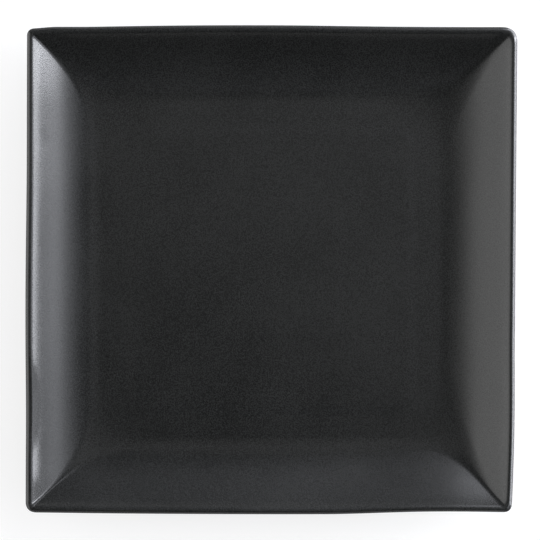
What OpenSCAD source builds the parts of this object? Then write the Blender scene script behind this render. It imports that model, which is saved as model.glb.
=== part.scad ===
// Square dinner plate: a stoneware body with a foot ring, a satin black glaze coat over
// the face, the lip and the outside, and a panel of the same glaze inside the foot ring.
// The origin is the centre of the resting plane under the foot ring, with +Z up.

/* [Plate] */
// Width across the middle, from lip to lip, the same both ways
plate_side = 267; // [220:1:320]
// Height of the lip above the table
plate_height = 25; // [22:0.5:30]
// Radius of the lip's corners, seen from above
corner_r = 2.8; // [2:0.1:6]
// How far each side bows out at its middle, past its corners
side_bow = 0.8; // [0.2:0.1:1.6]

/* [Lip and wall] */
// How far the top of the lip lies inside its outermost edge
lip_set_in = 1.9; // [1.6:0.1:2.4]
// Radius of the roll from the inner wall to the top of the lip
lip_roll_r = 2.9; // [2:0.1:4]
// Radius of the shoulder between the top of the lip and the bevel outside it
lip_shoulder_r = 1.1; // [0.8:0.1:1.4]
// Steepness of the bevel round the outside of the lip, in degrees
bevel_angle = 42; // [35:1:50]
// Radius of the lip's outermost edge
lip_edge_r = 0.6; // [0.5:0.05:0.8]
// Width of the rising wall, from the edge of the flat well to the outside
wall_run = 41.5; // [35:0.5:50]
// Steepness of the inner wall below the lip's own rise, in degrees
wall_angle = 36; // [30:1:40]
// Steepness of the inner wall where it meets the roll of the lip, in degrees
lip_angle = 45; // [42:1:54]
// Width of the band inside the lip over which the wall steepens
lip_run = 7; // [2:0.2:9]
// Steepness of the outer wall where it meets the lip, in degrees
outer_angle = 41; // [32:1:50]
// How far inside the well's edge the underside starts to rise
wall_lead = 6; // [3:0.5:10]

/* [Well] */
// Thickness of the floor, glaze included
floor_t = 4.5; // [3.5:0.1:6.5]
// How far the middle of the well rises above its edge
floor_crown = 0.7; // [0.1:0.05:1.2]
// Radius of the well's corners, seen from above
well_corner_r = 36; // [20:1:50]

/* [Foot ring] */
// Height of the foot ring below the floor
foot_h = 2.5; // [2:0.1:4]
// Width of the foot ring, glaze included
foot_w = 5; // [4:0.1:8]
// Distance from the foot ring's centre line out to where the underside rises
foot_margin = 8; // [5:0.5:20]
// Radius of the foot ring's corners, along its centre line
foot_corner_r = 9; // [7:1:30]
// Radius of the fillets between the foot ring and the underside
foot_fillet = 1; // [0.6:0.1:1.2]
// Radius of the foot ring's lower edges
foot_edge_r = 0.6; // [0.3:0.1:0.8]

/* [Glaze] */
// Thickness of the fired glaze
glaze_t = 0.4; // [0.3:0.05:0.6]

/* [Hidden] */
clay_color = "#8a7a68";
glaze_color = "#2c2d2e";
// Steps of the corner arcs and of the straight sides in one ring of points
corner_steps = 7;
side_steps = 9;
// Steps along each stretch of the section
floor_steps = 3;
bend_steps = 10;
lip_rise_steps = 3;
lip_steps = 3;
fillet_steps = 3;
// Where the glaze ends on the straight side of the foot ring, as a share of its height
glaze_edge_share = 0.45;
// How quickly the well's round corners close to sharp mitres on the way up the wall
mitre_power = 3;

quarter_turn = 90;
half_side = plate_side / 2;
floor_z = foot_h + floor_t;
floor_half = half_side - wall_run;
under_half = floor_half - wall_lead;
foot_half = under_half - foot_margin;
foot_outer = foot_half + foot_w / 2;
foot_inner = foot_half - foot_w / 2;
glaze_edge_z = foot_edge_r + glaze_edge_share * (foot_h - foot_fillet - foot_edge_r);
ring_points = 4 * (corner_steps + side_steps);

// The section is a row of stations from the middle of the well, over the lip and under to
// the foot ring. A station is [half width, height, outward normal, corner radius].
function station(p, run, r) = [p.x, p.y, [-run.y, run.x] / norm(run), r];
function on_circle(a) = [cos(a), sin(a)];
function mix(a, b, share) = a + (b - a) * share;

// A smooth bend through three points: it leaves a towards b and reaches c coming from b
function bend(a, b, c, t) = mix(mix(a, b, t), mix(b, c, t), t);
function bend_run(a, b, c, t) = mix(b - a, c - b, t);

// Where the line from a low point at its angle crosses the line to a high point at its own angle
function crossing(low, low_angle, high, high_angle) = let (
    low_slope = tan(low_angle), high_slope = tan(high_angle),
    x = (high.y - low.y + low_slope * low.x - high_slope * high.x) / (low_slope - high_slope))
    [x, low.y + low_slope * (x - low.x)];

// Corner radius of the face and of the underside at a half width
function face_r(h) = mix(corner_r, well_corner_r, pow((half_side - h) / wall_run, mitre_power));
function foot_r(h) = foot_corner_r + h - foot_half;
function under_r(h) = mix(foot_r(under_half), corner_r, (h - under_half) / (half_side - under_half));

// The lip rolls from the inner wall over its top to a shoulder, and a bevel runs down to its edge
lip_start_angle = quarter_turn + lip_angle;
bevel_direction = quarter_turn - bevel_angle;
lip_end_angle = outer_angle - quarter_turn;
lip_top = [half_side - lip_set_in, plate_height];
roll_centre = lip_top - [0, lip_roll_r];
shoulder_centre = lip_top - [0, lip_shoulder_r];
bevel_top = shoulder_centre + lip_shoulder_r * on_circle(bevel_direction);
bevel_low_x = half_side - lip_edge_r * (1 - cos(bevel_direction));
bevel_low = [bevel_low_x, bevel_top.y - (bevel_low_x - bevel_top.x) * tan(bevel_angle)];
edge_centre = bevel_low - lip_edge_r * on_circle(bevel_direction);

// Where the inner and outer wall meet the lip, and where the lip's own rise starts
inner_top = roll_centre + lip_roll_r * on_circle(lip_start_angle);
outer_top = edge_centre + lip_edge_r * on_circle(lip_end_angle);
inner_bottom = [floor_half, floor_z];
outer_bottom = [under_half, foot_h];
wall_top = inner_top - lip_run * [1, tan((wall_angle + lip_angle) / 2)];
wall_turn = crossing(inner_bottom, 0, wall_top, wall_angle);
lip_turn = crossing(wall_top, wall_angle, inner_top, lip_angle);
outer_turn = crossing(outer_bottom, 0, outer_top, outer_angle);

floor_stations = [for (i = [1:floor_steps]) let (share = i / floor_steps, h = floor_half * share)
    station([h, floor_z + floor_crown * (1 - share * share)], [1, 0], well_corner_r * share)];

function face_bend_stations(a, b, c, steps) = [for (i = [1:steps]) let (t = i / steps, p = bend(a, b, c, t))
    station(p, bend_run(a, b, c, t), face_r(p.x))];
inner_wall_stations = face_bend_stations(inner_bottom, wall_turn, wall_top, bend_steps);
lip_rise_stations = face_bend_stations(wall_top, lip_turn, inner_top, lip_rise_steps);

function lip_arc_stations(centre, radius, from, to) = [for (i = [1:lip_steps]) let (
    a = mix(from, to, i / lip_steps), p = centre + radius * on_circle(a))
    station(p, [sin(a), -cos(a)], a > 0 ? face_r(p.x) : under_r(p.x))];
lip_stations = concat(
    lip_arc_stations(roll_centre, lip_roll_r, lip_start_angle, quarter_turn),
    lip_arc_stations(shoulder_centre, lip_shoulder_r, quarter_turn, bevel_direction),
    [station(bevel_low, [sin(bevel_direction), -cos(bevel_direction)], face_r(bevel_low.x))],
    lip_arc_stations(edge_centre, lip_edge_r, bevel_direction, lip_end_angle));

outer_wall_stations = [for (i = [1:bend_steps]) let (
    t = 1 - i / bend_steps, p = bend(outer_bottom, outer_turn, outer_top, t))
    station(p, -bend_run(outer_bottom, outer_turn, outer_top, t), under_r(p.x))];

outer_fillet_stations = [for (i = [0:fillet_steps]) let (
    a = quarter_turn * (1 + i / fillet_steps),
    p = [foot_outer + foot_fillet, foot_h - foot_fillet] + foot_fillet * on_circle(a))
    station(p, -[sin(a), -cos(a)], foot_r(p.x))];

glaze_edge_station = station([foot_outer, glaze_edge_z], [0, -1], foot_r(foot_outer));

// The bare clay of the foot ring, from its outer side round its lower edges to its inner side
function foot_edge(h, a) = let (p = [h, foot_edge_r] + foot_edge_r * on_circle(a))
    station(p, [sin(a), -cos(a)], foot_r(p.x));
bearing_outer = foot_outer - glaze_t - foot_edge_r;
bearing_inner = foot_inner + glaze_t + foot_edge_r;
foot_stations = concat(
    [for (i = [0:fillet_steps]) foot_edge(bearing_outer, -quarter_turn * i / fillet_steps)],
    [for (i = [0:fillet_steps]) foot_edge(bearing_inner, -quarter_turn * (1 + i / fillet_steps))]);

// The recess inside the foot ring, from the glaze's edge to the last ring before the middle
inner_fillet_stations = [for (i = [0:fillet_steps]) let (
    a = quarter_turn * i / fillet_steps,
    p = [foot_inner - foot_fillet, foot_h - foot_fillet] + foot_fillet * on_circle(a))
    station(p, -[sin(a), -cos(a)], foot_r(p.x))];

recess_stations = concat(
    [station([foot_inner, glaze_edge_z], [0, 1], foot_r(foot_inner))],
    inner_fillet_stations,
    [for (i = [1:floor_steps - 1]) let (share = 1 - i / floor_steps, h = (foot_inner - foot_fillet) * share)
        station([h, foot_h], [-1, 0], foot_r(foot_inner - foot_fillet) * share)]);

face_stations = concat(floor_stations, inner_wall_stations, lip_rise_stations, lip_stations,
    outer_wall_stations, outer_fillet_stations, [glaze_edge_station]);

// One ring of points round a rounded square, at a depth below the glazed surface
function ring(s, depth) = let (
    h = s[0] - depth * s[2].x, z = s[1] - depth * s[2].y, r = s[3] - depth * s[2].x,
    bow = side_bow * pow(h / half_side, 3), reach = h - bow - r)
    [for (k = [0:3]) each concat(
        [for (i = [0:corner_steps]) let (a = quarter_turn * i / corner_steps)
            turned([reach + r * cos(a), reach + r * sin(a)], k, z)],
        [for (i = [1:side_steps - 1]) let (share = 1 - 2 * i / side_steps)
            turned([reach * share, reach + r + bow * (1 - share * share)], k, z)])];
function turned(p, k, z) = let (c = cos(quarter_turn * k), s = sin(quarter_turn * k))
    [p.x * c - p.y * s, p.x * s + p.y * c, z];
function rings(stations, depth) = [for (s = stations) each ring(s, depth)];

// Faces between ring a and ring b, and the fan that closes a ring with its middle point
function band(a, b) = [for (j = [0:ring_points - 1]) let (
    n = (j + 1) % ring_points, p = a * ring_points, q = b * ring_points)
    each [[p + j, q + n, p + n], [p + j, q + j, q + n]]];
function bands(first, last) = [for (i = [first:last - 1]) each band(i, i + 1)];
function fan(middle, a) = [for (j = [0:ring_points - 1])
    [middle, a * ring_points + j, a * ring_points + (j + 1) % ring_points]];
function flipped(faces) = [for (f = faces) [f[0], f[2], f[1]]];

// A solid whose rings run from the middle of its top, round its edge, to the middle of its underside
module closed_shell(points, count, top, bottom) {
    middle = len(points);
    polyhedron(concat(points, [top, bottom]), concat(
        fan(middle, 0), bands(0, count - 1), flipped(fan(middle + 1, count - 1))));
}

// A thin skin between outer rings and the inner rings below them, open towards its middle or its edge
module skin(outer, inner, count, outer_middle, inner_middle, middle_first) {
    middle = 2 * count * ring_points;
    centre_ring = middle_first ? 0 : count - 1;
    edge_ring = middle_first ? count - 1 : 0;
    face_side = concat(bands(0, count - 1),
        middle_first ? fan(middle, centre_ring) : flipped(fan(middle, centre_ring)));
    back_side = flipped(concat(bands(count, 2 * count - 1), middle_first
        ? fan(middle + 1, count + centre_ring) : flipped(fan(middle + 1, count + centre_ring))));
    edge = band(edge_ring, count + edge_ring);
    polyhedron(concat(outer, inner, [outer_middle, inner_middle]),
        concat(face_side, back_side, middle_first ? edge : flipped(edge)));
}

face_middle = [0, 0, floor_z + floor_crown];
recess_middle = [0, 0, foot_h];
glaze_depth = [0, 0, glaze_t];

module stoneware_body() {
    color(clay_color)
        closed_shell(
            concat(rings(face_stations, glaze_t), rings(foot_stations, 0), rings(recess_stations, glaze_t)),
            len(face_stations) + len(foot_stations) + len(recess_stations),
            face_middle - glaze_depth, recess_middle + glaze_depth);
}

module face_glaze() {
    color(glaze_color)
        skin(rings(face_stations, 0), rings(face_stations, glaze_t), len(face_stations),
            face_middle, face_middle - glaze_depth, true);
}

module base_glaze() {
    color(glaze_color)
        skin(rings(recess_stations, 0), rings(recess_stations, glaze_t), len(recess_stations),
            recess_middle, recess_middle + glaze_depth, false);
}

stoneware_body();
face_glaze();
base_glaze();
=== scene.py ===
import math

import bpy
import numpy as np
from mathutils import Matrix, Vector


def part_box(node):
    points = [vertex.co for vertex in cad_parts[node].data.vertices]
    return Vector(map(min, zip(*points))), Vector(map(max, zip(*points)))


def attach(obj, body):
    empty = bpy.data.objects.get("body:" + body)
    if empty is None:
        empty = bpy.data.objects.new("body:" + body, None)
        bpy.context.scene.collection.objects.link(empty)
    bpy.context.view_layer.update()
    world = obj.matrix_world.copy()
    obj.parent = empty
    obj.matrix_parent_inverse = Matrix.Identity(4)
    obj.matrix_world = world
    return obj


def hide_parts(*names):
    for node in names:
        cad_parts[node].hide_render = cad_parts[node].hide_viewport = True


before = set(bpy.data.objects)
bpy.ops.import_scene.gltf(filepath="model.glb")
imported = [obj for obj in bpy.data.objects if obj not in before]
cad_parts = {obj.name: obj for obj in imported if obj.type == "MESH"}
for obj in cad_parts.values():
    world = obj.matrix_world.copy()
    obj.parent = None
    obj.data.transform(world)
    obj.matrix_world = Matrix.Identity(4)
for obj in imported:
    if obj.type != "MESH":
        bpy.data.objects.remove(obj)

# Square dinner plate in satin black stoneware: the fired body with its bare foot ring, the
# glaze coat over the face and the outside, and the glazed panel inside the foot ring.
# The shapes follow the frame's own section, with the small unevenness of one pressed plate.

MM = 0.001
QUARTER = math.pi / 2
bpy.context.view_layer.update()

# Sizes that the frame gives
coat_low, coat_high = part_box("face_glaze")
_, body_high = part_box("stoneware_body")
PLATE_HEIGHT = coat_high[2]
HALF_SIDE = (coat_high[0] - coat_low[0]) / 2
GLAZE = coat_high[2] - body_high[2]

# The outline: the corners' radius at the outside, and how far the middle of a side bows out
CORNER_R = 2.8 * MM
SIDE_BOW = 0.8 * MM

# The lip: where its top is, its three arcs, and the slope of the bevel round the outside
LIP_SET_IN = 1.9 * MM
LIP_ROLL_R = 2.9 * MM
LIP_SHOULDER_R = 1.1 * MM
LIP_EDGE_R = 0.6 * MM
BEVEL_ANGLE = math.radians(42)

# The wall: its run inside, its lead underneath, its slopes, and the steeper run below the lip
WALL_RUN = 41.5 * MM
WALL_LEAD = 6.0 * MM
WALL_ANGLE = math.radians(36)
OUTER_ANGLE = math.radians(41)
LIP_ANGLE = math.radians(45)
LIP_RUN = 7.0 * MM

# The floor of the well: how thick it is, its raised middle, and the round corners that close
# to mitres on the way up the wall
FLOOR_T = 4.5 * MM
FLOOR_CROWN = 0.4 * MM
WELL_CORNER_R = 36 * MM
MITRE_POWER = 3

# The foot ring, and how far up its straight sides the glaze ends
FOOT_H = 2.5 * MM
FOOT_W = 5.0 * MM
FOOT_MARGIN = 8.0 * MM
FOOT_CORNER_R = 9 * MM
FOOT_FILLET = 1.0 * MM
FOOT_EDGE_R = 0.6 * MM
GLAZE_EDGE_SHARE = 0.45

# Heights and half widths that follow
FLOOR_Z = FOOT_H + FLOOR_T
FLOOR_HALF = HALF_SIDE - WALL_RUN
UNDER_HALF = FLOOR_HALF - WALL_LEAD
FOOT_HALF = UNDER_HALF - FOOT_MARGIN
FOOT_OUTER = FOOT_HALF + FOOT_W / 2
FOOT_INNER = FOOT_HALF - FOOT_W / 2
FILLET_Z = FOOT_H - FOOT_FILLET
GLAZE_EDGE_Z = FOOT_EDGE_R + GLAZE_EDGE_SHARE * (FILLET_Z - FOOT_EDGE_R)

# Steps of the meshes
CORNER_STEPS = 20
SIDE_STEPS = 110
FLOOR_STEPS = 84
WALL_STEPS = 60
LIP_STEPS = 8
LIP_RISE_STEPS = 10
UNDER_STEPS = 36
EDGE_STEPS = 6
RING_POINTS = 4 * (CORNER_STEPS + SIDE_STEPS)


def mix(a, b, share):
    return a + (b - a) * share


def shares(steps, first=1):
    return [i / steps for i in range(first, steps + 1)]


def on_circle(angle):
    return np.array([math.cos(angle), math.sin(angle)])


def bend(a, b, c, t):
    """A point of the curve that leaves a towards b and comes to c from there."""
    return mix(mix(a, b, t), mix(b, c, t), t)


def bend_run(a, b, c, t):
    """The direction in which that curve runs."""
    return mix(b - a, c - b, t)


def turn_of(low, low_angle, high, high_angle):
    """Where the lines through two points of a bend, at their own angles, cross."""
    low_slope, high_slope = math.tan(low_angle), math.tan(high_angle)
    rise = high[1] - low[1] + low_slope * low[0] - high_slope * high[0]
    across = rise / (low_slope - high_slope)
    return np.array([across, low[1] + low_slope * (across - low[0])])


# The corner radius at a half width, on the face, on the foot ring and under the wall
def face_r(half):
    share = (HALF_SIDE - half) / WALL_RUN
    return mix(CORNER_R, WELL_CORNER_R, share ** MITRE_POWER)


def foot_r(half):
    return FOOT_CORNER_R + half - FOOT_HALF


def under_r(half):
    return mix(foot_r(UNDER_HALF), CORNER_R, (half - UNDER_HALF) / (HALF_SIDE - UNDER_HALF))


# The lip rolls from the wall over its top to a shoulder, and a bevel runs from there to its edge
LIP_START = QUARTER + LIP_ANGLE
LIP_END = OUTER_ANGLE - QUARTER
BEVEL = QUARTER - BEVEL_ANGLE
LIP_TOP = np.array([HALF_SIDE - LIP_SET_IN, PLATE_HEIGHT])
ROLL_CENTRE = LIP_TOP - np.array([0, LIP_ROLL_R])
SHOULDER_CENTRE = LIP_TOP - np.array([0, LIP_SHOULDER_R])
BEVEL_TOP = SHOULDER_CENTRE + LIP_SHOULDER_R * on_circle(BEVEL)
BEVEL_LOW_HALF = HALF_SIDE - LIP_EDGE_R * (1 - math.cos(BEVEL))
BEVEL_DROP = (BEVEL_LOW_HALF - BEVEL_TOP[0]) * math.tan(BEVEL_ANGLE)
BEVEL_LOW = np.array([BEVEL_LOW_HALF, BEVEL_TOP[1] - BEVEL_DROP])
EDGE_CENTRE = BEVEL_LOW - LIP_EDGE_R * on_circle(BEVEL)

# Both walls are bends that leave the floor level; the inner one has a second bend below the lip
INNER_BOTTOM = np.array([FLOOR_HALF, FLOOR_Z])
INNER_TOP = ROLL_CENTRE + LIP_ROLL_R * on_circle(LIP_START)
WALL_TOP = INNER_TOP - LIP_RUN * np.array([1, math.tan((WALL_ANGLE + LIP_ANGLE) / 2)])
WALL_TURN = turn_of(INNER_BOTTOM, 0, WALL_TOP, WALL_ANGLE)
LIP_TURN = turn_of(WALL_TOP, WALL_ANGLE, INNER_TOP, LIP_ANGLE)
OUTER_BOTTOM = np.array([UNDER_HALF, FOOT_H])
OUTER_TOP = EDGE_CENTRE + LIP_EDGE_R * on_circle(LIP_END)
OUTER_TURN = turn_of(OUTER_BOTTOM, 0, OUTER_TOP, OUTER_ANGLE)


# The section: a station is half width, height, outward normal (across, up) and corner radius
def station(point, run, corner_r):
    across, up = -run[1], run[0]
    length = math.hypot(across, up)
    return [point[0], point[1], across / length, up / length, corner_r]


def floor_stations():
    for share in shares(FLOOR_STEPS):
        height = FLOOR_Z + FLOOR_CROWN * (1 - share * share)
        yield station((FLOOR_HALF * share, height), (1, 0), WELL_CORNER_R * share)


def bend_stations(a, b, c, steps):
    for t in shares(steps):
        point = bend(a, b, c, t)
        yield station(point, bend_run(a, b, c, t), face_r(point[0]))


def lip_arc(centre, radius, start, end):
    for share in shares(LIP_STEPS):
        angle = mix(start, end, share)
        point = centre + radius * on_circle(angle)
        corner_r = face_r(point[0]) if angle > 0 else under_r(point[0])
        yield station(point, (math.sin(angle), -math.cos(angle)), corner_r)


def lip_stations():
    yield from lip_arc(ROLL_CENTRE, LIP_ROLL_R, LIP_START, QUARTER)
    yield from lip_arc(SHOULDER_CENTRE, LIP_SHOULDER_R, QUARTER, BEVEL)
    yield station(BEVEL_LOW, (math.sin(BEVEL), -math.cos(BEVEL)), face_r(BEVEL_LOW[0]))
    yield from lip_arc(EDGE_CENTRE, LIP_EDGE_R, BEVEL, LIP_END)


def outer_wall_stations():
    for share in shares(UNDER_STEPS):
        point = bend(OUTER_BOTTOM, OUTER_TURN, OUTER_TOP, 1 - share)
        run = -bend_run(OUTER_BOTTOM, OUTER_TURN, OUTER_TOP, 1 - share)
        yield station(point, run, under_r(point[0]))


def foot_arc(half, height, radius, start, end, facing):
    """An arc round a centre; facing is 1 where it is convex and -1 where it is hollow."""
    for share in shares(EDGE_STEPS, 0):
        angle = mix(start, end, share)
        point = np.array([half, height]) + radius * on_circle(angle)
        run = (facing * math.sin(angle), -facing * math.cos(angle))
        yield station(point, run, foot_r(point[0]))


def face_section():
    return [
        *floor_stations(),
        *bend_stations(INNER_BOTTOM, WALL_TURN, WALL_TOP, WALL_STEPS),
        *bend_stations(WALL_TOP, LIP_TURN, INNER_TOP, LIP_RISE_STEPS),
        *lip_stations(),
        *outer_wall_stations(),
        *foot_arc(FOOT_OUTER + FOOT_FILLET, FILLET_Z, FOOT_FILLET, QUARTER, 2 * QUARTER, -1),
        station((FOOT_OUTER, GLAZE_EDGE_Z), (0, -1), foot_r(FOOT_OUTER)),
    ]


def foot_section():
    outer, inner = FOOT_OUTER - GLAZE - FOOT_EDGE_R, FOOT_INNER + GLAZE + FOOT_EDGE_R
    return [
        *foot_arc(outer, FOOT_EDGE_R, FOOT_EDGE_R, 0, -QUARTER, 1),
        *foot_arc(inner, FOOT_EDGE_R, FOOT_EDGE_R, -QUARTER, -2 * QUARTER, 1),
    ]


def recess_section():
    flat_half = FOOT_INNER - FOOT_FILLET
    flat = [station((flat_half * (1 - share), FOOT_H), (-1, 0), foot_r(flat_half) * (1 - share))
            for share in shares(FLOOR_STEPS)[:-1]]
    return [
        station((FOOT_INNER, GLAZE_EDGE_Z), (0, 1), foot_r(FOOT_INNER)),
        *foot_arc(flat_half, FILLET_Z, FOOT_FILLET, 0, QUARTER, -1),
        *flat,
    ]


# The four corners of this plate, counterclockwise from the back right one: how much is added to
# each radius at the outside, and the power by which that fades towards the middle
CORNER_SLACKS = np.array([1.9, 2.6, 4.9, 1.1]) * MM
SLACK_POWER = 45

# The corners bend most at their middle and run out softly: how much further they reach along the
# sides than a round one, in the well and at the top of each mitre, and the power of their curve,
# which is 2 for a round one
CORNER_REACH = 1.25
MITRE_REACHES = np.array([2.6, 0.5, 0.25, 1.4])
CORNER_POWER = 2.6

# How much further each corner reaches along the side after it, and how much less along the side
# before it
CORNER_SKEWS = np.array([0, -0.18, 0, 0.3])

# The power by which the bow and the drift of the sides fade towards the middle
SIDE_POWER = 3


# How far each side stands out, in mm: its middle, its lean, how much its first and its last half
# bend outwards, and its swells by height, place and reach. Places along a side go from -1 at its
# left or near end to 1 at the other
RIGHT_SIDE = (0, 0.95, 0, 1.15, [(0.45, -0.64, 0.35), (-0.25, -1.0, 0.1)])
LEFT_SIDE = (0.1, -0.4, 1.0, 1.0, [(0.5, -0.12, 0.57)])
BACK_SIDE = (0, 0.35, 0, 0, [(0.5, -1.0, 0.3), (-0.95, -1.0, 0.13), (0.3, -0.3, 0.6), (-0.6, 0.62, 0.6)])
FRONT_SIDE = (-0.05, 0.15, 0, 0, [(-1.15, 0.68, 0.45)])

# Shallow hollows of the wall in mm: middle across and up, reach across and up, and depth
HOLLOWS = [
    (-133.5, -74, 7.3, 32, 1.2),
    (-133.5, -122, 8, 12, 0.6),
    (-124, -104, 7, 12, 0.12),
    (-128, 13, 9, 2.5, 0.06),
    (-125, 70, 6, 10, 0.1),
    (-120, 150, 45, 60, 1.2),
    (150, -125, 55, 35, 1.0),
]

# The share of the wall's run over which the hollows set in
HOLLOW_RUN = 0.25

# Where the soft clay was pulled sideways, in mm: middle across and up, reach, pull across and up
PULLS = [
    (97, -100, 48, 2.8, 2.4),
    (95, 80, 42, -1.3, 0),
]

# Square prints on the floor, which is a little higher inside each, in mm: half width, corner
# radius and rise, and then the run of their soft edges
PRINTS = [(77.5, 9, 0.17), (38, 10, 0.07)]
PRINT_RUN = 6

# The height that parts the floor's face from its underside
FACE_Z = FLOOR_Z / 2


def stands_out(side, along):
    middle, lean, first_bend, last_bend, swells = side
    out = middle + lean * along
    out += first_bend * np.clip(-along, 0, None) ** 2 + last_bend * np.clip(along, 0, None) ** 2
    for height, place, reach in swells:
        out += height * np.clip(1 - ((along - place) / reach) ** 2, 0, None) ** 2
    return out * MM


def drifts(flat, half):
    """How far the points go with the uneven sides, each more with the side that it is nearer to."""
    u, v = np.clip(flat[:, 0] / half, -1, 1), np.clip(flat[:, 1] / half, -1, 1)
    across = (1 + u) / 2 * stands_out(RIGHT_SIDE, v) - (1 - u) / 2 * stands_out(LEFT_SIDE, v)
    up = (1 + v) / 2 * stands_out(BACK_SIDE, u) - (1 - v) / 2 * stands_out(FRONT_SIDE, u)
    return np.stack([across, up], 1)


def pulls(flat):
    moved = np.zeros(flat.shape)
    for middle_x, middle_y, reach, across, up in PULLS:
        away = np.hypot(flat[:, 0] / MM - middle_x, flat[:, 1] / MM - middle_y) / reach
        moved += np.outer(np.clip(1 - away ** 2, 0, None) ** 2, (across * MM, up * MM))
    return moved


def pull_share(up_wall):
    """How much of a pull acts: all of it a third of the way up the wall, and nothing at its ends."""
    return 27 / 4 * up_wall * (1 - up_wall) ** 2


def hollows(flat):
    depth = np.zeros(len(flat))
    for middle_x, middle_y, reach_x, reach_y, deep in HOLLOWS:
        away_x, away_y = (flat[:, 0] / MM - middle_x) / reach_x, (flat[:, 1] / MM - middle_y) / reach_y
        depth += deep * MM * np.clip(1 - (away_x ** 2 + away_y ** 2), 0, None) ** 2
    return depth


def prints(flat):
    height = np.zeros(len(flat))
    for half, corner_r, rise in PRINTS:
        out = np.abs(flat) / MM - half + corner_r
        round_part = np.hypot(*np.clip(out, 0, None).T)
        outside = np.where(out.max(1) > 0, round_part, out.max(1)) - corner_r
        share = np.clip(0.5 - outside / PRINT_RUN, 0, 1)
        height += rise * MM * share * share * (3 - 2 * share)
    return height


FLOOR_TOP = FLOOR_Z + FLOOR_CROWN + prints(np.zeros((1, 2)))[0]


def corner_reaches(corner_r, outward, up_wall):
    """How far the corners reach along the side after each one, and along the side before it."""
    slacks = CORNER_REACH * CORNER_SLACKS * outward ** SLACK_POWER
    radii = mix(CORNER_REACH, MITRE_REACHES, up_wall) * corner_r + slacks
    skews = CORNER_SKEWS * (1 - outward ** SLACK_POWER)
    return radii * (1 + skews), radii * (1 - skews)


def soft_square(half, bow, reaches_after, reaches_before):
    """Points counterclockwise round a square: each corner, and then the side after it."""
    arc = np.linspace(0, QUARTER, CORNER_STEPS + 1)
    leaving = np.clip(np.cos(arc), 0, 1) ** (2 / CORNER_POWER)
    coming = leaving[::-1]
    side = 1 - 2 * np.arange(1, SIDE_STEPS) / SIDE_STEPS
    edge = half - bow
    points = []
    for k, (c, s) in enumerate(((1, 0), (0, 1), (-1, 0), (0, -1))):
        after, before = reaches_after[k], reaches_before[k]
        start, end = edge - after, edge - reaches_before[(k + 1) % 4]
        x = np.concatenate([start + after * leaving, np.where(side > 0, start, end) * side])
        y = np.concatenate([edge - before + before * coming, edge + bow * (1 - side ** 2)])
        points.append(np.stack([x * c - y * s, x * s + y * c], 1))
    return np.concatenate(points)


def ring(stop, depth):
    """One ring of points round the plate, at a depth below the glazed surface."""
    half, up, across, rise, corner_r = stop
    half, z, corner_r = half - depth * across, up - depth * rise, corner_r - depth * across
    outward = min(1.0, half / HALF_SIDE)
    up_wall = min(1, max(0, (half - FLOOR_HALF) / WALL_RUN))
    side_share = outward ** SIDE_POWER
    flat = soft_square(half, SIDE_BOW * side_share, *corner_reaches(corner_r, outward, up_wall))
    flat = flat + drifts(flat, half) * side_share + pull_share(up_wall) * pulls(flat)
    relief = -min(1, up_wall / HOLLOW_RUN) * hollows(flat)
    if up > FACE_Z:
        relief += prints(flat)
    return np.column_stack([flat, z + relief])


def rings(section, depth):
    return [ring(stop, depth) for stop in section]


def glaze_edge(stop):
    """The rounded end of a glaze coat, from its outside towards its back on the clay."""
    rows = []
    for share in shares(EDGE_STEPS)[:-1]:
        angle = share * QUARTER
        row = ring(stop, GLAZE * (1 - math.cos(angle)))
        row[:, 2] -= GLAZE * math.sin(angle)
        rows.append(row)
    return rows


# Faces between a ring and the next one, and the fan that closes a ring with a middle point
def band(a):
    first = np.arange(RING_POINTS)
    second = (first + 1) % RING_POINTS
    p, q = a * RING_POINTS, (a + 1) * RING_POINTS
    return np.stack([p + first, q + first, q + second, p + second], 1).tolist()


def fan(middle, a):
    points = [a * RING_POINTS + j for j in range(RING_POINTS)]
    return [[middle, points[j], points[(j + 1) % RING_POINTS]] for j in range(RING_POINTS)]


def make_piece(name, rows, first_z, last_z, node):
    """A closed piece from its rings in order, with a fan round a middle point at either end."""
    points = np.concatenate([*rows, [[0, 0, first_z], [0, 0, last_z]]])
    last, middle = len(rows) - 1, len(rows) * RING_POINTS
    faces = fan(middle, 0)
    for a in range(last):
        faces += band(a)
    faces += [face[::-1] for face in fan(middle + 1, last)]
    mesh = bpy.data.meshes.new(name)
    mesh.from_pydata(points.tolist(), [], faces)
    mesh.validate()
    mesh.shade_smooth()
    piece = bpy.data.objects.new(name, mesh)
    bpy.context.scene.collection.objects.link(piece)
    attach(piece, "root")
    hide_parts(node)
    return piece


def make_face_coat():
    section = face_section()
    rows = rings(section, 0) + glaze_edge(section[-1]) + rings(section, GLAZE)[::-1]
    return make_piece("face_glaze_coat", rows, FLOOR_TOP, FLOOR_TOP - GLAZE, "face_glaze")


def make_base_coat():
    section = recess_section()
    rows = rings(section, GLAZE)[::-1] + glaze_edge(section[0])[::-1] + rings(section, 0)
    return make_piece("base_glaze_coat", rows, FOOT_H + GLAZE, FOOT_H, "base_glaze")


def make_body():
    rows = rings(face_section(), GLAZE) + rings(foot_section(), 0) + rings(recess_section(), GLAZE)
    return make_piece("stoneware_clay", rows, FLOOR_TOP - GLAZE, FOOT_H + GLAZE, "stoneware_body")


# Nodes of the materials
def new_material(name):
    material = bpy.data.materials.new(name)
    material.use_nodes = True
    tree = material.node_tree
    place = tree.nodes.new("ShaderNodeTexCoord").outputs["Object"]
    return material, tree, tree.nodes["Principled BSDF"], place


def noise(tree, place, size, detail, rough=0.5, distortion=0.0):
    """Noise whose grains are about `size` metres across."""
    node = tree.nodes.new("ShaderNodeTexNoise")
    node.inputs["Scale"].default_value = 1 / size
    node.inputs["Detail"].default_value = detail
    node.inputs["Roughness"].default_value = rough
    node.inputs["Distortion"].default_value = distortion
    tree.links.new(place, node.inputs["Vector"])
    return node.outputs["Fac"]


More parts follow.
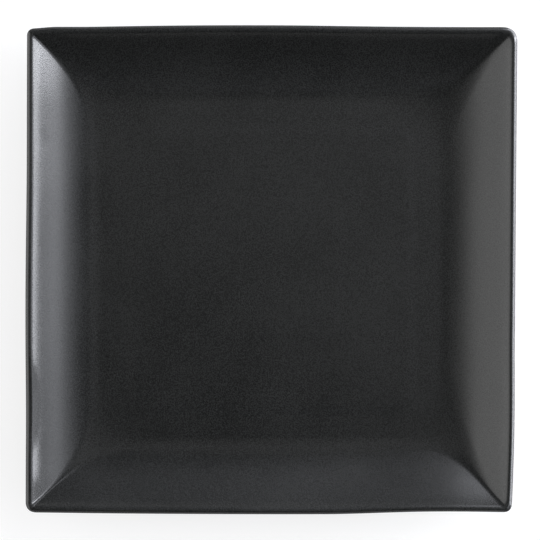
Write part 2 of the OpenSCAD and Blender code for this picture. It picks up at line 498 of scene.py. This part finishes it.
def spread(tree, value, low, high, from_low=0.3, from_high=0.7):
    node = tree.nodes.new("ShaderNodeMapRange")
    node.inputs["From Min"].default_value = from_low
    node.inputs["From Max"].default_value = from_high
    node.inputs["To Min"].default_value = low
    node.inputs["To Max"].default_value = high
    tree.links.new(value, node.inputs["Value"])
    return node.outputs["Result"]


def ramp(tree, value, low_stop, high_stop):
    node = tree.nodes.new("ShaderNodeValToRGB")
    for element, (position, color) in zip(node.color_ramp.elements, (low_stop, high_stop)):
        element.position, element.color = position, (*color, 1)
    tree.links.new(value, node.inputs["Fac"])
    return node.outputs["Color"]


def bump(tree, height, depth):
    node = tree.nodes.new("ShaderNodeBump")
    node.inputs["Distance"].default_value = depth
    tree.links.new(height, node.inputs["Height"])
    return node.outputs["Normal"]


def math_node(tree, operation, first, second):
    node = tree.nodes.new("ShaderNodeMath")
    node.operation = operation
    tree.links.new(first, node.inputs[0])
    if isinstance(second, float):
        node.inputs[1].default_value = second
    else:
        tree.links.new(second, node.inputs[1])
    return node.outputs[0]


def mix_shaders(tree, share, first, second):
    node = tree.nodes.new("ShaderNodeMixShader")
    for i, value in enumerate((share, first, second)):
        tree.links.new(value, node.inputs[i])
    return node.outputs[0]


def diffuse(tree, grey):
    node = tree.nodes.new("ShaderNodeBsdfDiffuse")
    node.inputs["Color"].default_value = (grey, grey, grey, 1)
    return node.outputs[0]


# The glaze: its grain stands a little proud, a speckle mottles its black, and clouds vary both
# its black and its gloss. The grain's axes are turned so that no face of the plate lies flat in it
GRAIN_TURN = (0.6, 0.5, 0.4)
GRAIN_SIZE = 0.6 * MM
GRAIN_DEPTH = 0.018 * MM
SPECKLE_SIZE = 0.55 * MM
CLOUD_SIZE = 40 * MM
CLOUD_SHADE = 0.05
BLACK_LOW = (0.3, (0.0038, 0.0043, 0.0040))
BLACK_HIGH = (0.7, (0.0228, 0.0236, 0.0230))
GLAZE_ROUGHNESS = (0.19, 0.23)
GLAZE_IOR = 1.5


def glaze_material():
    material, tree, shader, place = new_material("satin_black_glaze")
    turn = tree.nodes.new("ShaderNodeMapping")
    turn.inputs["Rotation"].default_value = GRAIN_TURN
    tree.links.new(place, turn.inputs["Vector"])
    turned = turn.outputs["Vector"]
    grain = noise(tree, turned, GRAIN_SIZE, detail=0.5)
    speckle = noise(tree, turned, SPECKLE_SIZE, detail=0.0, distortion=1.0)
    cloud = noise(tree, place, CLOUD_SIZE, detail=3.0)
    shade = math_node(tree, "ADD", speckle, spread(tree, cloud, -CLOUD_SHADE, CLOUD_SHADE))
    tree.links.new(ramp(tree, shade, BLACK_LOW, BLACK_HIGH), shader.inputs["Base Color"])
    tree.links.new(spread(tree, cloud, *GLAZE_ROUGHNESS), shader.inputs["Roughness"])
    tree.links.new(bump(tree, grain, GRAIN_DEPTH), shader.inputs["Normal"])
    shader.inputs["IOR"].default_value = GLAZE_IOR
    return material


# The bare clay: a sandy grain, and clouds in its warm brown
CLAY_GRAIN_SIZE = 0.6 * MM
CLAY_GRAIN_DEPTH = 0.05 * MM
CLAY_CLOUD_SIZE = 12 * MM
CLAY_LOW = (0.35, (0.25, 0.18, 0.125))
CLAY_HIGH = (0.65, (0.34, 0.26, 0.19))
CLAY_ROUGHNESS = (0.7, 0.95)


def clay_material():
    material, tree, shader, place = new_material("bare_stoneware")
    grain = noise(tree, place, CLAY_GRAIN_SIZE, detail=4.0, rough=0.7)
    cloud = noise(tree, place, CLAY_CLOUD_SIZE, detail=3.0, rough=0.6)
    tree.links.new(ramp(tree, cloud, CLAY_LOW, CLAY_HIGH), shader.inputs["Base Color"])
    tree.links.new(spread(tree, grain, *CLAY_ROUGHNESS), shader.inputs["Roughness"])
    tree.links.new(bump(tree, grain, CLAY_GRAIN_DEPTH), shader.inputs["Normal"])
    return material


# The floor: white where it is seen, with the plate's shadow, and pale grey for the light. Near
# the plate it glows a little less than white, because the lamps add the rest
FLOOR_REACH = 8.0
FLOOR_GAP = 0.05 * MM
FLOOR_GREY = 0.8
SHADOW_SHARE = 0.35
FLOOR_LIFT = 0.74
LIT_REACH = 1.6


def seen_rays(tree, mirrored_share=None):
    """1 for what the camera sees directly, in a reflection or through glass, and 0 for the light."""
    path = tree.nodes.new("ShaderNodeLightPath")
    mirrored = math_node(tree, "MAXIMUM", path.outputs["Is Glossy Ray"], path.outputs["Is Transmission Ray"])
    if mirrored_share is not None:
        mirrored = math_node(tree, "MULTIPLY", mirrored, mirrored_share)
    return math_node(tree, "MAXIMUM", path.outputs["Is Camera Ray"], mirrored)


def floor_material():
    """The floor from above; from below it is clear."""
    material, tree, shader, place = new_material("pale_floor")
    tree.nodes.remove(shader)
    away = tree.nodes.new("ShaderNodeVectorMath")
    away.operation = "LENGTH"
    tree.links.new(place, away.inputs[0])
    white = tree.nodes.new("ShaderNodeEmission")
    lift = spread(tree, away.outputs["Value"], FLOOR_LIFT, 1.0, LIT_REACH / 4, LIT_REACH)
    tree.links.new(lift, white.inputs["Strength"])
    lifted = tree.nodes.new("ShaderNodeAddShader")
    tree.links.new(diffuse(tree, SHADOW_SHARE), lifted.inputs[0])
    tree.links.new(white.outputs[0], lifted.inputs[1])
    top = mix_shaders(tree, seen_rays(tree), diffuse(tree, FLOOR_GREY), lifted.outputs[0])
    clear = tree.nodes.new("ShaderNodeBsdfTransparent").outputs[0]
    below = tree.nodes.new("ShaderNodeNewGeometry").outputs["Backfacing"]
    surface = mix_shaders(tree, below, top, clear)
    tree.links.new(surface, tree.nodes["Material Output"].inputs["Surface"])
    return material


def make_floor():
    mesh = bpy.data.meshes.new("floor")
    around = ((-1, -1), (1, -1), (1, 1), (-1, 1))
    corners = [(x * FLOOR_REACH, y * FLOOR_REACH, -FLOOR_GAP) for x, y in around]
    mesh.from_pydata(corners, [], [(0, 1, 2, 3)])
    mesh.materials.append(floor_material())
    floor = bpy.data.objects.new("floor", mesh)
    bpy.context.scene.collection.objects.link(floor)


# The world: a faint fill for the light, and white where the camera looks and where a reflection
# meets the low backdrop, up to this height of the direction
FILL = 0.04
BACKDROP_TOP = 0.07


def make_world():
    world = bpy.data.worlds.new("studio")
    bpy.context.scene.world = world
    world.use_nodes = True
    tree = world.node_tree
    fill = tree.nodes["Background"]
    fill.inputs["Color"].default_value = (1, 1, 1, 1)
    fill.inputs["Strength"].default_value = FILL
    backdrop = tree.nodes.new("ShaderNodeBackground")
    backdrop.inputs["Color"].default_value = (1, 1, 1, 1)
    direction = tree.nodes.new("ShaderNodeSeparateXYZ")
    tree.links.new(tree.nodes.new("ShaderNodeTexCoord").outputs["Generated"], direction.inputs[0])
    low = math_node(tree, "LESS_THAN", direction.outputs["Z"], BACKDROP_TOP)
    surface = mix_shaders(tree, seen_rays(tree, low), fill.outputs[0], backdrop.outputs[0])
    tree.links.new(surface, tree.nodes["World Output"].inputs["Surface"])


# The studio light
LAMP_DISTANCE = 1.6
COOL = (0.96, 0.98, 1.05)


def softbox(name, azimuth, elevation, width, height, radiance, color=(1, 1, 1)):
    """A rectangular lamp that faces the plate; azimuth 0 is +X and 90 is +Y."""
    light = bpy.data.lights.new(name, "AREA")
    light.shape = "RECTANGLE"
    light.size, light.size_y = width, height
    light.energy = radiance * math.pi * width * height
    light.color = color
    lamp = bpy.data.objects.new(name, light)
    lamp.visible_camera = False
    a, e = math.radians(azimuth), math.radians(elevation)
    away = Vector((math.cos(a) * math.cos(e), math.sin(a) * math.cos(e), math.sin(e)))
    facing = away.to_track_quat("Z", "Y").to_matrix().to_4x4()
    lamp.matrix_world = Matrix.Translation(away * LAMP_DISTANCE) @ facing
    bpy.context.scene.collection.objects.link(lamp)


def softbox_stack(name, azimuth, low, high, width, radiances, color=(1, 1, 1)):
    """Softboxes above each other, from a low to a high elevation, that narrow upwards like a dome."""
    step = (high - low) / len(radiances)
    height = 2 * LAMP_DISTANCE * math.tan(math.radians(step / 2))
    for i, radiance in enumerate(radiances):
        elevation = low + (i + 0.5) * step
        across = width * math.cos(math.radians(elevation))
        softbox(f"{name}_{i}", azimuth, elevation, across, height, radiance, color)


def make_lights():
    """Panels round the plate, which its walls mirror, and three dim ones above for its floor."""
    softbox("right_low", 25, 5.5, 2.9, 0.31, 12.0, COOL)
    fade = (2.2, 2.6, 3.5, 4.1, 3.35, 2.0, 1.35, 0.76, 0.4, 0.18, 0.08)
    softbox_stack("right_panel", 19, 12, 78, 1.28, fade, COOL)
    softbox_stack("right_front_panel", -23, 12, 78, 1.16, [0.7 * radiance for radiance in fade], COOL)
    softbox_stack("right_back_panel", 16, 6, 36, 0.32, (21, 20, 15, 7), COOL)
    softbox("left_low", 180, 5, 2.6, 0.28, 2.2)
    softbox_stack("left_panel", 180, 10, 82, 2.3, (1.95, 1.95, 1.95, 1.9, 1.6, 1.1, 0.65, 0.38, 0.25))
    softbox_stack("back_left_panel", 112, 2, 74, 1.2, (0.17, 0.2, 0.2, 0.2, 0.14, 0.08), COOL)
    softbox_stack("back_panel", 86, 2, 74, 0.4, (0.3, 0.42, 0.44, 0.44, 0.3, 0.16), COOL)
    softbox_stack("back_right_panel", 73, 5, 65, 0.34, (3.4, 4.0, 3.9, 3.2, 1.7), COOL)
    softbox_stack("front_panel", -90, 12, 80, 1.6, (0.035, 0.04, 0.07, 0.1, 0.14, 0.21), COOL)
    softbox("overhead", 52, 80.3, 0.7, 0.7, 0.29)
    softbox("right_top", 2, 80.5, 0.7, 0.16, 0.17, COOL)
    softbox("back_top", 68, 80.5, 0.6, 0.16, 0.17, COOL)


# The camera looks straight down; its frame is as wide as the photograph's at the lip
CAMERA_HEIGHT = 2.6
FRAME_WIDTH = 294.7 * MM
PLATE_RIGHT_OF_MIDDLE = 0.55 * MM
PLATE_ABOVE_MIDDLE = 0.03 * MM


def make_camera():
    data = bpy.data.cameras.new("camera")
    data.sensor_width = 36
    data.lens = data.sensor_width * (CAMERA_HEIGHT - PLATE_HEIGHT) / FRAME_WIDTH
    camera = bpy.data.objects.new("camera", data)
    camera.location = (-PLATE_RIGHT_OF_MIDDLE, -PLATE_ABOVE_MIDDLE, CAMERA_HEIGHT)
    bpy.context.scene.collection.objects.link(camera)
    bpy.context.scene.camera = camera


glaze = glaze_material()
clay = clay_material()
for piece, material, slot in (
        (make_face_coat(), glaze, "face_glaze"),
        (make_base_coat(), glaze, "base_glaze"),
        (make_body(), clay, "clay")):
    piece.data.materials.append(material)

make_floor()
make_world()
make_lights()
make_camera()
bpy.context.scene.view_settings.view_transform = "Standard"
